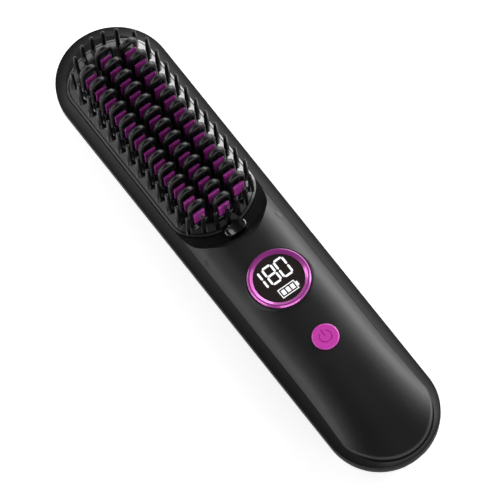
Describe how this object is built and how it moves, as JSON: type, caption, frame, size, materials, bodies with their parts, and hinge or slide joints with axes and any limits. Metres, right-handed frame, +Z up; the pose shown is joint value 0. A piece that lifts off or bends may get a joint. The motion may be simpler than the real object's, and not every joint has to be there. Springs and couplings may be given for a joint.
{
  "type": "cordless_hair_straightening_brush",
  "caption": "Cordless hair straightening brush with black arched teeth over magenta heater fins, a round display in a magenta bezel and a magenta power button on a crowned black handle",
  "frame": {"origin": "centre of the bounding box's bottom face, on the flat back", "axes": "X from the brush head's tip to the handle's end, Y across the body, Z up through the teeth"},
  "size_m": [0.213, 0.045, 0.0369],
  "materials": {
    "soft_black": "fine satin",
    "gloss_black": "glossy moulded",
    "magenta_coat": "metallic coating",
    "magenta_metal": "anodised, polished",
    "magenta_gloss": "metallic gloss",
    "lens_black": "dark window",
    "readout_white": "lit white",
    "seal_rubber": "matt",
    "ceramic_white": "fired ceramic",
    "plain_steel": "plated",
    "mica_tan": "pressed mica",
    "sensor_glass": "bead",
    "lead_red": "silicone sleeve",
    "module_grey": "moulded",
    "board_green": "solder mask",
    "cell_foil": "foil pouch",
    "foam_grey": "foam"
  },
  "bodies": {
    "body": {"front_housing": "soft_black", "rear_housing": "soft_black", "comb_cover": "gloss_black", "comb_gasket": "seal_rubber", "comb_latch": "gloss_black", "heater_plate": "magenta_coat", "ceramic_heaters": "ceramic_white", "heater_clamp": "plain_steel", "mica_sheet": "mica_tan", "heater_screws": "plain_steel", "thermistor": "sensor_glass", "thermal_fuse": "plain_steel", "heater_leads": "lead_red", "display_bezel": "magenta_metal", "display_lens": "lens_black", "lens_tape": "seal_rubber", "readout_segments": "readout_white", "display_module": "module_grey", "tact_switch": "soft_black", "main_board": "board_green", "board_components": "soft_black", "board_screws": "plain_steel", "lower_cell": "cell_foil", "upper_cell": "cell_foil", "foam_pad": "foam_grey", "battery_leads": "lead_red", "charge_board": "board_green", "charge_leads": "lead_red", "charge_socket": "plain_steel", "contact_tongue": "module_grey", "housing_screws": "plain_steel"},
    "button": {"power_button": "magenta_gloss", "switch_plunger": "module_grey"}
  },
  "joints": [
    {"name": "power_button_press", "type": "slide", "parent": "body", "child": "button", "axis": [0, 0, -1], "range_m": [0, 0.0005], "stiffness_N_per_m": 1500, "springref_m": -0.0002}
  ]
}
